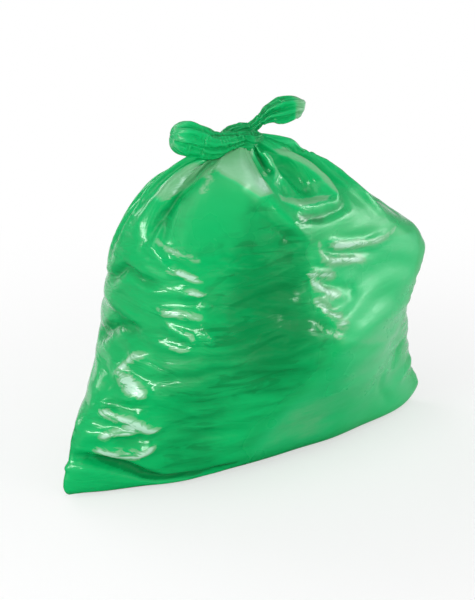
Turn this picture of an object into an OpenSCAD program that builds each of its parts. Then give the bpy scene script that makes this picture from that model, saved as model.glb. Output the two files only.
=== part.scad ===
// A filled refuse sack of thin green film, tied at the neck.
// The sack is one closed film bag, so it is one solid: the sealed base with its
// two pointed corners, the body, the gathered crown, the half knot and its two ears.
// The frame is +X along the base seam, +Y to the back, +Z up, with the origin
// on the floor under the neck.

/* [Sealed base] */
// Length of the sealed base from corner to corner
base_length = 714; // [640:1:800]
// Reach of the left sealed corner from the neck's axis
corner_left = 342; // [320:1:380]
// Height of the left corner's tip, which lies on the floor
corner_left_z = 11; // [6:1:14]
// Height of the right corner's tip, which is lifted off the floor
corner_right_z = 24; // [16:1:44]
// Depth of the flat patch that the sack stands on
foot_depth = 104; // [90:1:150]
// How far the flat patch stops short of each sealed corner
foot_inset = 30; // [20:1:50]
// How far the heel bulges past the flat patch, front and back
heel_bulge = 52; // [40:1:60]
// Height of the rounded edge of the flat patch
edge_z = 8; // [6:1:12]
// Height at which the heel bulges most
heel_z = 40; // [34:1:48]
// How far a corner's tip leans past the film below or above it
tip_lean = 6; // [2:1:10]

/* [Waist] */
// Height of the waist, where the film leaves the corners
waist_z = 112; // [94:1:124]
// How far the waist draws in from the left corner
waist_in_left = 27; // [15:1:42]
// How far the waist draws in from the right corner
waist_in_right = 25; // [15:1:47]
// Depth of the waist, front to back
waist_depth = 267; // [250:1:290]

/* [Belly] */
// Height of the belly, the deepest part
belly_z = 223; // [200:1:240]
// How far the belly draws in from the left corner
belly_in_left = 96; // [72:1:112]
// How far the belly draws in from the right corner
belly_in_right = 47; // [27:1:62]
// Depth of the belly, front to back
belly_depth = 356; // [330:1:370]

/* [Shoulder] */
// Height of the shoulder, where the sides start to close
shoulder_z = 318; // [300:1:340]
// How far the shoulder draws in from the left corner
shoulder_in_left = 105; // [82:1:117]
// How far the shoulder draws in from the right corner
shoulder_in_right = 24; // [8:1:52]
// Depth of the shoulder, front to back
shoulder_depth = 298; // [280:1:320]

/* [Crown] */
// Height of the crown's lower edge
crown_z = 408; // [395:1:425]
// How far the crown's lower edge draws in from the left corner
crown_in_left = 116; // [102:1:132]
// How far the crown's lower edge draws in from the right corner
crown_in_right = 120; // [107:1:142]
// Depth of the crown's lower edge, front to back
crown_depth = 272; // [250:1:290]
// Height of the crown's upper edge, under the knot
collar_z = 493; // [482:1:502]
// How far the crown's upper edge draws in from the left corner
collar_in_left = 175; // [162:1:197]
// How far the crown's upper edge draws in from the right corner
collar_in_right = 226; // [212:1:247]
// Depth of the crown's upper edge, front to back
collar_depth = 158; // [130:1:170]

/* [Neck and knot] */
// Height at which the film goes into the knot
neck_z = 540; // [532:1:546]
// Radius of the bunched neck
neck_r = 19; // [16:1:22]
// Radius of the half turn that each strand makes round the neck
turn_r = 21; // [18:1:24]
// Radius of a strand of bunched film in the knot
strand_r = 12; // [10:0.5:14]

/* [Ears] */
// Length of the left ear from the knot
left_ear_length = 118; // [100:1:135]
// Width of the left ear
left_ear_width = 46; // [36:1:54]
// Thickness of the left ear
left_ear_thick = 34; // [26:1:40]
// Height of the left ear's curled end above the knot
left_ear_rise = 34; // [20:1:45]
// Length of the right ear from the knot
right_ear_length = 118; // [95:1:130]
// Width of the right ear at its flared end
right_ear_width = 42; // [34:1:50]
// Thickness of the right ear
right_ear_thick = 24; // [18:1:30]
// Height of the right ear's open end above the knot
right_ear_rise = 30; // [20:1:45]

/* [Folds in the film] */
// Gathers round the neck at the back and the sides
gather_count = 21; // [15:1:25]
// Depth of a gather on the crown
gather_depth = 9; // [5:1:14]
// Height of the main folds that run down the crown from the knot
fold_height = 9; // [5:1:14]
// Depth of the pocket that a fold leaves in the crown's right side
pocket_depth = 20; // [8:1:26]
// Height of one cross wrinkle on the body
wrinkle_pitch = 47; // [40:1:60]
// Depth of a cross wrinkle
wrinkle_depth = 7; // [3:0.5:10]
// Depth of the crease across the left corner
crease_depth = 9; // [4:0.5:12]
// How far the contents push the film out in lumps
lump_height = 8; // [3:0.5:12]

/* [Mesh] */
// Points round the body
around = 96; // [72:12:108]
// Rings from one station to the next
rings = 6; // [5:1:6]

/* [Hidden] */
film_green = [0.03, 0.62, 0.3];
corner_right = base_length - corner_left;

// Stations of the loft: height, left reach, right reach, half depth, and the
// exponent that points the outline's two ends (2 is a lens, 1 is an ellipse)
stations = [
  [0, corner_left - foot_inset, corner_right - foot_inset, foot_depth / 2, 1.9],
  [edge_z, corner_left - tip_lean, corner_right, (foot_depth + heel_bulge) / 2, 1.9],
  [heel_z, corner_left, corner_right - tip_lean, foot_depth / 2 + heel_bulge, 1.85],
  [waist_z, corner_left - waist_in_left, corner_right - waist_in_right, waist_depth / 2, 1.25],
  [belly_z, corner_left - belly_in_left, corner_right - belly_in_right, belly_depth / 2, 0.9],
  [shoulder_z, corner_left - shoulder_in_left, corner_right - shoulder_in_right, shoulder_depth / 2, 0.76],
  [crown_z, corner_left - crown_in_left, corner_right - crown_in_right, crown_depth / 2, 0.86],
  [collar_z, corner_left - collar_in_left, corner_right - collar_in_right, collar_depth / 2, 1.05],
  [neck_z, neck_r, neck_r, neck_r, 1]
];
last = len(stations) - 1;
shoulder_s = 5;
// Main folds of the crown, each along a line from the knot down. A row holds the height as
// a share of fold_height (below nought for a valley), the half width in degrees, then the
// row of the loft and the angle from +X where the fold starts, and those where it ends.
main_folds = [
  [-0.9, 5.5, 7.8, 214, 6.1, 208],
  [0.55, 7, 7.7, 200, 6.0, 196],
  [1, 8, 7.8, 246, 5.9, 281],
  [-1, 4.5, 7.8, 272, 6.8, 269],
  [0.6, 4, 7.8, 284, 6.7, 279],
  [0.9, 6, 7.6, 308, 6.3, 311],
  [-0.7, 5, 7.5, 325, 6.1, 312],
  [0.9, 6, 7.7, 335, 5.6, 326],
  [-0.8, 6, 7.6, 349, 5.8, 343],
  [0.6, 6, 7.6, 182, 6.3, 181],
  [-0.7, 6, 7.7, 170, 6.4, 166]
];
// Where the pocket lies: its angle and its row of the loft
pocket_a = 296;
pocket_s = 6.95;
// Angles between which the crown's front has main folds in place of gathers
front_from = 160;
front_to = 352;

function clamp(x, low, high) = min(max(x, low), high);
function smooth(low, high, x) =
  let (t = clamp((x - low) / (high - low), 0, 1)) t * t * (3 - 2 * t);

// One row of the loft at s, a smooth curve through the stations
function row(s) =
  let (
    i = clamp(floor(s), 0, last - 1),
    f = s - i,
    p = stations[i],
    q = stations[i + 1],
    m = (i == 0) ? q - p : (q - stations[i - 1]) / 2,
    n = (i == last - 1) ? q - p : (stations[i + 2] - p) / 2
  )
  (2 * f ^ 3 - 3 * f ^ 2 + 1) * p + (f ^ 3 - 2 * f ^ 2 + f) * m
  + (3 * f ^ 2 - 2 * f ^ 3) * q + (f ^ 3 - f ^ 2) * n;

function lens(a, k) = sign(sin(a)) * abs(sin(a)) ^ k;

// The taut film, before it folds. A corner's tip is lifted by its own height.
function taut(s, a) =
  let (
    r = row(s),
    reach = cos(a) < 0 ? r[1] : r[2],
    tip = abs(cos(a)) ^ 12 * smooth(0, 1, s) * (1 - smooth(1, 3, s)),
    lift = (cos(a) < 0 ? corner_left_z : corner_right_z) - edge_z
  )
  [reach * cos(a), r[3] * lens(a, r[4]), r[0] + tip * lift];

function unit(v) = v / max(norm(v), 0.0001);
function outward(s, a) =
  unit(cross(
    taut(s, a + 2) - taut(s, a - 2),
    taut(min(s + 0.1, last), a) - taut(max(s - 0.1, 0), a)
  ));

// A ridge line: rounded tops with a sharp valley between them, from -1 to 0
function ridge(x) = abs(sin(180 * x)) - 1;

// A soft bump of height 1 round a place on the film, in rows and degrees
function bump(s, a, at_s, at_a, over_s, over_a) =
  exp(-((s - at_s) / over_s) ^ 2 - (((a - at_a + 540) % 360 - 180) / over_a) ^ 2);

// Gathers run from the knot down the crown, some of them further than others. The front
// has none: one panel is pulled taut there, between the main folds.
function gather(s, a) =
  let (
    turn = gather_count * a / 360 + 0.34 * sin(2 * a + 40) + 0.16 * sin(5 * a + 10),
    start = shoulder_s + 0.55 + 0.5 * sin(3 * a + 70) + 0.25 * sin(7 * a),
    front = smooth(front_from, front_from + 14, a) * (1 - smooth(front_to - 14, front_to, a))
  )
  gather_depth * ridge(turn) * smooth(start, start + 1.3, s) * (1 - front);

// One of the main folds, narrow and straight, that fades out at both ends
function main_fold(s, a, f) =
  let (
    share = clamp((f[2] - s) / (f[2] - f[4]), 0, 1),
    off = (a - f[3] - (f[5] - f[3]) * share + 540) % 360 - 180
  )
  f[0] * exp(-(off / f[1]) ^ 2)
  * smooth(f[4] - 0.3, f[4] + 0.5, s) * (1 - smooth(f[2] - 0.2, f[2] + 0.2, s));

// All that folds the crown, shallower where the film bunches into the neck
function crown(s, a) =
  let (
    folds = [for (f = main_folds) main_fold(s, a, f)],
    sum = folds * [for (f = folds) 1]
  )
  (1 - 0.55 * smooth(7, 8, s)) * (gather(s, a) + fold_height * sum);

// The pocket is a hollow under a fold that hangs open, with a raised lip below it
function pocket(s, a) =
  pocket_depth * (0.4 * bump(s, a, pocket_s - 0.55, pocket_a - 6, 0.16, 17)
  - bump(s, a, pocket_s, pocket_a, 0.4, 8));

// The crease lets the flat end of the left corner hang back from the body. It runs
// along the front of the corner and then down to the base seam.
function crease(s, a) =
  let (line = 2.55 - 1.0 * smooth(196, 250, a))
  -crease_depth * exp(-((s - line) / 0.27) ^ 2) * smooth(176, 202, a) * (1 - smooth(236, 262, a));

// Cross wrinkles sag between the ends and break up along their length
function wrinkle(s, a) =
  let (
    up = row(s)[0] / wrinkle_pitch,
    wave = up + 0.45 * sin(a * 2 + 30) + 0.3 * sin(a * 5 + up * 24) + 0.2 * sin(a * 9 - up * 47),
    rise = 0.55 + 0.45 * sin(a * 3 + up * 42 + 50)
  )
  wrinkle_depth * ridge(wave) * rise * smooth(1.6, 2.8, s) * (1 - smooth(5.6, 6.8, s));

// Lumps where the contents press on the film
function lump(s, a) =
  lump_height * smooth(1.8, 3.2, s) * (1 - smooth(5.8, 7, s))
  * (sin(a * 3 + s * 95) * 0.5 + sin(a * 4 - s * 120 + 60) * 0.4 + sin(a * 7 + s * 60) * 0.25);

function skin(s, a) =
  taut(s, a) + outward(s, a) * (crown(s, a) + pocket(s, a) + wrinkle(s, a) + crease(s, a) + lump(s, a));

// Faces of a tube of rings, closed by a flat face at each end
function tube_faces(count, sides) = concat(
  [[for (j = [0:sides - 1]) j]],
  [for (i = [0:count - 2], j = [0:sides - 1])
    let (a = i * sides + j, b = i * sides + (j + 1) % sides)
    each [[b, a, a + sides], [b, a + sides, b + sides]]],
  [[for (j = [sides - 1:-1:0]) (count - 1) * sides + j]]
);

module body() {
  count = last * rings + 1;
  points = [for (i = [0:count - 1], j = [0:around - 1])
    i == 0 ? taut(0, 360 * j / around) : skin(i / rings, 360 * j / around)];
  polyhedron(points, tube_faces(count, around), convexity = 6);
}

// Beads in a strand's turn, the angle and the drop from one to the next, how far the
// turn leans out, and the height of the first bead
turn_beads = 6;
turn_step = 42;
turn_drop = strand_r / 4;
turn_lean = strand_r / 4;
knot_z = neck_z + strand_r * 0.75;

// A strand swept along rows of [x, y, z, half width, half thickness, pleat depth],
// with its width held level across the path
strand_steps = 3;
strand_sides = 20;

function along(rows, s) =
  let (
    top = len(rows) - 1,
    i = clamp(floor(s), 0, top - 1),
    f = s - i,
    p = rows[i],
    q = rows[i + 1],
    m = (i == 0) ? q - p : (q - rows[i - 1]) / 2,
    n = (i == top - 1) ? q - p : (rows[i + 2] - p) / 2
  )
  (2 * f ^ 3 - 3 * f ^ 2 + 1) * p + (f ^ 3 - 2 * f ^ 2 + f) * m
  + (3 * f ^ 2 - 2 * f ^ 3) * q + (f ^ 3 - f ^ 2) * n;

function place(v) = [v[0], v[1], v[2]];

module strand(rows, pleats) {
  top = len(rows) - 1;
  count = top * strand_steps + 1;
  points = [for (i = [0:count - 1])
    let (
      s = i / strand_steps,
      r = along(rows, s),
      ahead = unit(place(along(rows, min(s + 0.2, top)) - along(rows, max(s - 0.2, 0)))),
      wide = unit(cross(ahead, [0.1, 1, 0.25])),
      thick = cross(ahead, wide)
    )
    for (j = [0:strand_sides - 1])
      let (
        a = 360 * j / strand_sides,
        fold = 1 + r[5] * ridge(pleats * a / 360 + 0.3 * sin(a + 60 * s))
      )
      place(r) + wide * r[3] * fold * cos(a) + thick * r[4] * fold * sin(a)];
  polyhedron(points, tube_faces(count, strand_sides), convexity = 6);
}

// The left ear is a fat folded lobe that curls up at its end
module left_ear() {
  l = left_ear_length;
  w = left_ear_width / 2;
  t = left_ear_thick / 2;
  h = left_ear_rise;
  strand([
    [-l, l * 0.14, knot_z + h, w * 0.42, t * 0.4, 0],
    [-l * 0.98, l * 0.12, knot_z + h * 0.74, w * 0.86, t * 0.85, 0.2],
    [-l * 0.84, l * 0.08, knot_z + h * 0.36, w, t, 0.3],
    [-l * 0.64, l * 0.02, knot_z, w * 0.98, t, 0.3],
    [-l * 0.42, -l * 0.08, knot_z - h * 0.16, w * 0.74, t * 0.85, 0.24],
    [-strand_r, -turn_r, knot_z, strand_r * 0.95, strand_r * 0.9, 0]
  ], 4);
}

// The right ear narrows where it leaves the knot and flares to its open end
module right_ear() {
  l = right_ear_length;
  w = right_ear_width / 2;
  t = right_ear_thick / 2;
  h = right_ear_rise;
  strand([
    [l, -l * 0.03, knot_z + h * 0.84, w * 0.55, t * 0.4, 0.1],
    [l * 0.88, 0, knot_z + h, w * 0.82, t * 0.9, 0.22],
    [l * 0.69, l * 0.035, knot_z + h * 0.95, w, t, 0.3],
    [l * 0.54, l * 0.07, knot_z + h * 0.88, w * 0.6, t * 0.8, 0.25],
    [l * 0.4, l * 0.09, knot_z + h * 0.5, w * 0.42, t * 0.7, 0.2],
    [strand_r, turn_r, knot_z, strand_r * 0.9, strand_r * 0.9, 0]
  ], 4);
}

// One bead of a strand, on its way round the neck and down into it
module bead(angle, drop) {
  translate([
    (turn_r + turn_lean) * cos(angle),
    turn_r * sin(angle),
    knot_z - drop
  ])
    sphere(r = strand_r, $fn = 10);
}

// A strand's turn round the neck, from where its ear arrives
module turn(start) {
  for (k = [0:turn_beads - 2])
    hull() {
      bead(start + k * turn_step, k * turn_drop);
      bead(start + (k + 1) * turn_step, (k + 1) * turn_drop);
    }
}

// The half knot: each strand crosses the other and turns round the neck
module knot() {
  turn(-120);
  turn(60);
  translate([0, 0, neck_z])
    sphere(r = turn_r, $fn = 12);
}

module bag() {
  color(film_green)
    union() {
      body();
      knot();
      left_ear();
      right_ear();
    }
}

bag();
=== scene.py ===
"""A filled refuse sack of thin green film, tied at the neck, on a pale floor.

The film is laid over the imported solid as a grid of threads, given the folds and the slack
that real film has, and settled with a position based film solver. The knot and the two ears
are swept strands of bunched film, the base seal is a row of welds, and the stage is a floor,
lamps and a camera.
"""

import math

import bmesh
import bpy
import numpy as np
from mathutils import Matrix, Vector
from mathutils.bvhtree import BVHTree


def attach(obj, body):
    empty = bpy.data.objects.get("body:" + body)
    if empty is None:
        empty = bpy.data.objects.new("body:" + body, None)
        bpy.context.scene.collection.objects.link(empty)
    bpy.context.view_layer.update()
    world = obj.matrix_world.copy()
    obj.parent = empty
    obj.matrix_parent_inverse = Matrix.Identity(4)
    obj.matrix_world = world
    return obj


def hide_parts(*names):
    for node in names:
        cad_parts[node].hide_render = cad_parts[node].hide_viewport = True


bl_info = {
    "name": "Filled refuse sack",
    "version": (1, 0, 0),
    "blender": (4, 5, 0),
    "location": "3D View > Sidebar > Sack",
    "description": "Builds a tied sack of glossy film over its packed solid",
    "category": "Object",
}

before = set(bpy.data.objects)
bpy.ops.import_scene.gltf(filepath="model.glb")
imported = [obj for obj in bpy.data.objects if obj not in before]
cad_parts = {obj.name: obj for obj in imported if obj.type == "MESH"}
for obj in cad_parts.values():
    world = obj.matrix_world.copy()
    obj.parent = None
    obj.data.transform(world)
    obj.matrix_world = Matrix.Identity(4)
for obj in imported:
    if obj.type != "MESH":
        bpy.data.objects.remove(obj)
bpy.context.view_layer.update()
NODE = "bag"
BODY = "root"

# Grid of the film: threads round the sack (a multiple of 4) and rows from seam to neck
AROUND = 384
ROWS = 241
# Rays that read a ring off the solid
RAY_COUNT = 720
# Levels and threads on which the way up the side is measured
SIDE_LEVELS = 90
SIDE_THREADS = 16

# Heights in metres: the film is read off the solid from heel to shoulder
SEAM_Z = 0.0008
HEEL_Z = 0.006
SHOULDER_Z = 0.519
KNOT_Z = 0.549
# Lowest that settled film may lie, in metres
LOWEST_Z = 0.0006
# Radius of the film where it enters the knot, and how far below it the film levels out
NECK_R = 0.016
NECK_DIP = 0.012
# Left corner's tip: how far the seam is lifted and drawn out, and the film above it filled
TIP_LIFT = 0.0045
TIP_REACH = 0.013
TIP_FILL = 0.009

# Further than any distance on the sack, in metres
FAR = 9.0
# Points nearer than this to each other are merged, in metres
MERGE_GAP = 0.00005
# Rounds of smoothing that take the solid's facets off the film, and its folds off the crown
FACET_PASSES = 14
CROWN_PASSES = 90


def smoothstep(low, high, x):
    """0 up to low and 1 past high, with a smooth step between. Low may be the larger."""
    t = np.clip((x - low) / (high - low), 0.0, 1.0)
    return t * t * (3.0 - 2.0 * t)


def hump(x, middle, width):
    """1 at the middle, about a third a width away from it, and then next to nothing."""
    return np.exp(-(((x - middle) / width) ** 2))


def unit_rows(v):
    """Vectors with their length made 1."""
    return v / np.maximum(np.linalg.norm(v, axis=-1, keepdims=True), 1e-9)


# Film laid on the solid


def solid_tree():
    """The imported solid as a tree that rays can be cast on."""
    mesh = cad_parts[NODE].data
    return BVHTree.FromPolygons(
        [v.co[:] for v in mesh.vertices], [p.vertices[:] for p in mesh.polygons]
    )


def ring_at(tree, z):
    """The solid's outline at height z, from the left corner round the front and the back."""
    angles = np.linspace(math.pi, 3.0 * math.pi, RAY_COUNT + 1)
    points = np.zeros((RAY_COUNT + 1, 3))
    # a ray that slips between two faces takes the reach of the ray before it
    reach = 0.0
    for k, angle in enumerate(angles):
        way = Vector((math.cos(angle), math.sin(angle), 0.0))
        hit = tree.ray_cast(Vector((0.0, 0.0, z)), way)
        if hit[0] is not None:
            reach = hit[3]
        points[k] = way * reach + Vector((0.0, 0.0, z))
    points[-1] = points[0]
    return points


def spread(points, count):
    """Points spaced evenly by length along an open line."""
    length = np.concatenate([[0.0], np.cumsum(np.linalg.norm(np.diff(points, axis=0), axis=1))])
    at = np.linspace(0.0, length[-1], count)
    return np.stack([np.interp(at, length, points[:, k]) for k in range(3)], axis=1)


def halves(ring):
    """A ring spaced evenly over its front half and over its back half."""
    middle = RAY_COUNT // 2
    front = spread(ring[: middle + 1], AROUND // 2 + 1)
    back = spread(ring[middle:], AROUND // 2 + 1)
    return np.concatenate([front[:-1], back[:-1]])


def flared(points):
    """The film with the lower front and the right corner spread out to where real film lies.

    Each part is a distance in metres times a share, which depends on the place in metres.
    """
    x, y, z = points[..., 0], points[..., 1], points[..., 2]
    low_down = np.clip(1.0 - z / 0.085, 0.0, 1.0)
    right_tip = smoothstep(0.20, 0.32, x) * smoothstep(0.025, -0.015, y) * low_down
    forward = 0.008 * hump(x, -0.16, 0.05) + 0.009 * smoothstep(0.05, 0.15, x)
    forward *= smoothstep(0.0, -0.05, y) * low_down
    fuller = 0.008 * hump(z, 0.11, 0.07) + 0.007 * hump(z, 0.17, 0.03)
    fuller -= 0.007 * hump(z, 0.275, 0.035)
    points[..., 0] += 0.008 * right_tip + smoothstep(0.25, 0.33, x) * fuller
    points[..., 1] -= 0.011 * right_tip + forward
    return points


def film_under(foot, rows):
    """The film under the sack, from the base seam out to the foot."""
    mirrored = (-np.arange(AROUND)) % AROUND
    seam = foot.copy()
    seam[:, 1] = 0.0
    seam[:, 2] = SEAM_Z
    seam = (seam + seam[mirrored]) / 2.0
    # the left corner's tip is drawn out and stays just off the floor
    seam[:, 2] += TIP_LIFT * smoothstep(-0.27, -0.32, seam[:, 0])
    seam[:, 0] -= TIP_REACH * smoothstep(-0.26, -0.34, seam[:, 0])
    t = np.linspace(0.0, 1.0, rows, endpoint=False)[:, None, None]
    under = seam + (foot - seam) * t
    under[..., 2] = seam[:, 2] + (foot[:, 2] - seam[:, 2]) * t[..., 0] ** 4
    return under


def film_over(side, rows):
    """The film over the shoulder, curved from the top of the side in to the neck."""
    out = side[-1] - side[-4]
    neck = side[-1].copy()
    neck[:, :2] = unit_rows(side[-1][:, :2]) * NECK_R
    neck[:, 2] = KNOT_Z
    gap = np.linalg.norm(neck - side[-1], axis=1, keepdims=True)
    control = side[-1] + unit_rows(out) * gap * 0.5
    control[:, 2] = np.minimum(control[:, 2], KNOT_Z - NECK_DIP)
    t = np.linspace(0.0, 1.0, rows + 1)[1:, None, None]
    return (1 - t) ** 2 * side[-1] + 2 * t * (1 - t) * control + t**2 * neck


def film_on_solid():
    """Grid of points on the solid, rows from the base seam to the neck."""
    tree = solid_tree()
    heights = np.linspace(HEEL_Z, SHOULDER_Z, SIDE_LEVELS)
    coarse = np.stack([halves(ring_at(tree, z))[:: AROUND // SIDE_THREADS] for z in heights])
    rise = np.linalg.norm(np.diff(coarse, axis=0), axis=2).mean(axis=1)
    side_length = np.concatenate([[0.0], np.cumsum(rise)])
    foot = flared(halves(ring_at(tree, HEEL_Z)))
    shoulder = halves(ring_at(tree, SHOULDER_Z))

    # rows are shared out by length; the film over the shoulder is longer than its plan
    foot_length = np.abs(foot[:, 1]).max()
    top_length = 1.15 * np.linalg.norm(shoulder[:, :2], axis=1).mean()
    total = foot_length + side_length[-1] + top_length
    foot_rows = int(round(ROWS * foot_length / total))
    top_rows = int(round(ROWS * top_length / total))
    side_rows = ROWS - foot_rows - top_rows
    levels = np.interp(np.linspace(0.0, side_length[-1], side_rows), side_length, heights)
    side = flared(np.stack([halves(ring_at(tree, z)) for z in levels]))

    # the left corner's film runs straight on down to the floor
    low_left = smoothstep(-0.26, -0.34, side[..., 0]) * np.clip(1.0 - side[..., 2] / 0.045, 0.0, 1.0)
    side[..., 0] -= TIP_FILL * low_left
    return np.concatenate([film_under(foot, foot_rows), side, film_over(side, top_rows)])


def relaxed(grid, passes, keep):
    """The grid with its facets rubbed down; keep is 1 where a point stays."""
    free = (1.0 - keep)[..., None]
    for _ in range(passes):
        near = (np.roll(grid, 1, 1) + np.roll(grid, -1, 1)) / 4.0
        near[1:-1] += (grid[2:] + grid[:-2]) / 4.0
        step = near[1:-1] - grid[1:-1]
        grid[1:-1] += 0.6 * step * free[1:-1]
    return grid


def outward(grid):
    """Unit normals of a grid, away from the sack."""
    across = np.roll(grid, -1, 1) - np.roll(grid, 1, 1)
    up = np.gradient(grid, axis=0)
    return unit_rows(np.cross(across, up))


# Folds of the sack's front: height in millimetres (below nought for a valley), half width in
# millimetres, and places on the film in thousandths: of the way round, from the left corner
# (0) over the front to the right one (500), and of the way up, from the base seam to the neck
CROWN_FOLDS = (
    (-8, 9, ((80, 955), (75, 896), (68, 835), (55, 767), (45, 710))),
    (5, 13, ((20, 945), (28, 883), (34, 817), (25, 758), (20, 700))),
    (9, 13, ((165, 954), (188, 830), (222, 780), (245, 730), (265, 670))),
    (-5, 8, ((205, 770), (230, 715), (246, 660))),
    (-9, 6, ((262, 945), (256, 900), (240, 845))),
    (6, 7, ((290, 940), (276, 880), (245, 812))),
    (-5, 7, ((305, 940), (296, 888), (280, 833))),
    (6, 7, ((-4, 940), (-2, 862), (0, 780))),
    (-6, 7, ((-40, 940), (-45, 842), (-55, 770))),
    (8, 8, ((400, 940), (412, 860), (425, 780), (415, 660))),
    (9, 14, ((410, 995), (410, 950), (420, 880))),
    (-7, 8, ((455, 930), (465, 830), (455, 700))),
)
POCKET_FOLDS = (
    (-13, 17, ((300, 890), (310, 835), (318, 790), (330, 765))),
    (7, 7, ((330, 925), (352, 880), (362, 830), (368, 790), (362, 750), (350, 730))),
    (7, 6, ((362, 728), (320, 740), (280, 750), (245, 775))),
    (-4, 8, ((262, 725), (310, 712), (360, 722), (388, 770), (395, 850))),
)
SHOULDER_FOLDS = (
    (4, 10, ((406, 758), (417, 712), (414, 646))),
    (6, 6, ((289, 654), (312, 629), (357, 608), (401, 617))),
    (-5, 7, ((276, 633), (307, 604), (359, 579))),
    (5, 5, ((263, 608), (294, 592), (326, 575))),
    (6, 4, ((242, 587), (260, 579), (280, 567))),
    (4, 4, ((279, 629), (271, 588))),
    (5, 4, ((247, 562), (253, 542), (266, 517))),
    (-4, 5, ((250, 552), (281, 530), (310, 506))),
    (5, 4, ((237, 533), (255, 508), (273, 483), (294, 454))),
    (-4, 4, ((240, 520), (263, 492), (290, 465))),
    (5, 4, ((240, 508), (263, 479), (286, 450))),
    (4, 4, ((245, 471), (266, 446), (284, 421))),
    (-4, 5, ((238, 480), (262, 452), (286, 430))),
)
LEFT_FOLDS = (
    (-9, 9, ((-40, 570), (-16, 583), (13, 629), (39, 608), (62, 604))),
    (-9, 8, ((-70, 420), (-47, 425), (-5, 475), (39, 492))),
    (6, 6, ((44, 704), (62, 679), (73, 646))),
    (6, 5, ((73, 683), (94, 675), (112, 662))),
    (6, 5, ((73, 650), (89, 633), (104, 621))),
    (7, 6, ((81, 579), (99, 588), (109, 575))),
    (6, 4, ((102, 554), (115, 554))),
    (7, 7, ((52, 538), (78, 538), (104, 529))),
    (6, 5, ((60, 517), (76, 500), (89, 492), (102, 471))),
    (6, 4, ((102, 504), (109, 488), (117, 467))),
    (5, 5, ((44, 471), (70, 462), (94, 458))),
    (8, 7, ((47, 438), (26, 421), (16, 383), (34, 371), (57, 358))),
    (7, 7, ((31, 338), (49, 342), (62, 358))),
    (7, 6, ((13, 304), (29, 304), (60, 283), (83, 262), (94, 267))),
    (7, 6, ((29, 250), (47, 262), (70, 258))),
    (8, 7, ((31, 217), (60, 212), (76, 200), (94, 229))),
    (-6, 6, ((13, 321), (34, 321), (62, 308))),
    (-6, 5, ((42, 242), (62, 233), (83, 242))),
)
CORNER_FOLDS = (
    (-20, 5, ((0, 202), (18, 193), (42, 179), (66, 164), (83, 140), (104, 120), (151, 112), (200, 124))),
    (7, 5, ((10, 224), (40, 204), (66, 186), (90, 160), (110, 142), (150, 134))),
    (5, 9, ((10, 179), (28, 162), (57, 146))),
    (-6, 6, ((453, 308), (440, 262), (422, 233))),
    (6, 7, ((492, 225), (469, 200), (438, 183))),
    (-5, 6, ((404, 254), (401, 204), (430, 133))),
)
FRONT_FOLDS = (
    (-5, 5, ((141, 404), (174, 388), (214, 367))),
    (-4, 5, ((159, 538), (182, 521), (211, 500))),
    (-4, 5, ((167, 475), (188, 462), (206, 458))),
    (-5, 6, ((73, 400), (96, 396), (122, 412), (148, 417))),
    (4, 5, ((133, 654), (161, 633), (195, 621))),
    (-4, 5, ((130, 538), (143, 525), (151, 512))),
    (-4, 4, ((151, 354), (190, 329), (227, 321))),
    (4, 6, ((78, 329), (115, 312), (146, 288))),
    (-4, 5, ((109, 262), (151, 233), (198, 221))),
)
# The front's folds in the order in which they are laid, and the share of its height each takes
NAMED_FOLDS = (
    (CROWN_FOLDS + POCKET_FOLDS, 1.0),
    (CORNER_FOLDS, 0.7),
    (SHOULDER_FOLDS, 0.85),
    (LEFT_FOLDS, 1.05),
    (FRONT_FOLDS, 0.7),
)
# Small folds all round the sack: how many wrinkles cross the body and pleats run up the crown
WRINKLE_COUNT = 300
PLEAT_COUNT = 110
FOLD_SEED = 11
# The taut panel under the knot, where no small fold runs: shares round and up the film
PANEL_U = (0.080, 0.235)
PANEL_V = (0.70, 0.95)
# Where the scattered pleats of the crown end under the knot
PLEAT_TOP = 0.985
# The smooth film down the right of the front
VEIL_OUTLINE = (
    (265, 655), (300, 735), (410, 735), (450, 600), (420, 400), (500, 87), (214, 100), (200, 200),
    (253, 367), (240, 521), (255, 613),
)
# The open fold right of it, whose rim stays smooth
RIM_OUTLINE = (
    (230, 820), (300, 920), (400, 920), (445, 720), (435, 600), (300, 630), (240, 690),
)
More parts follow.
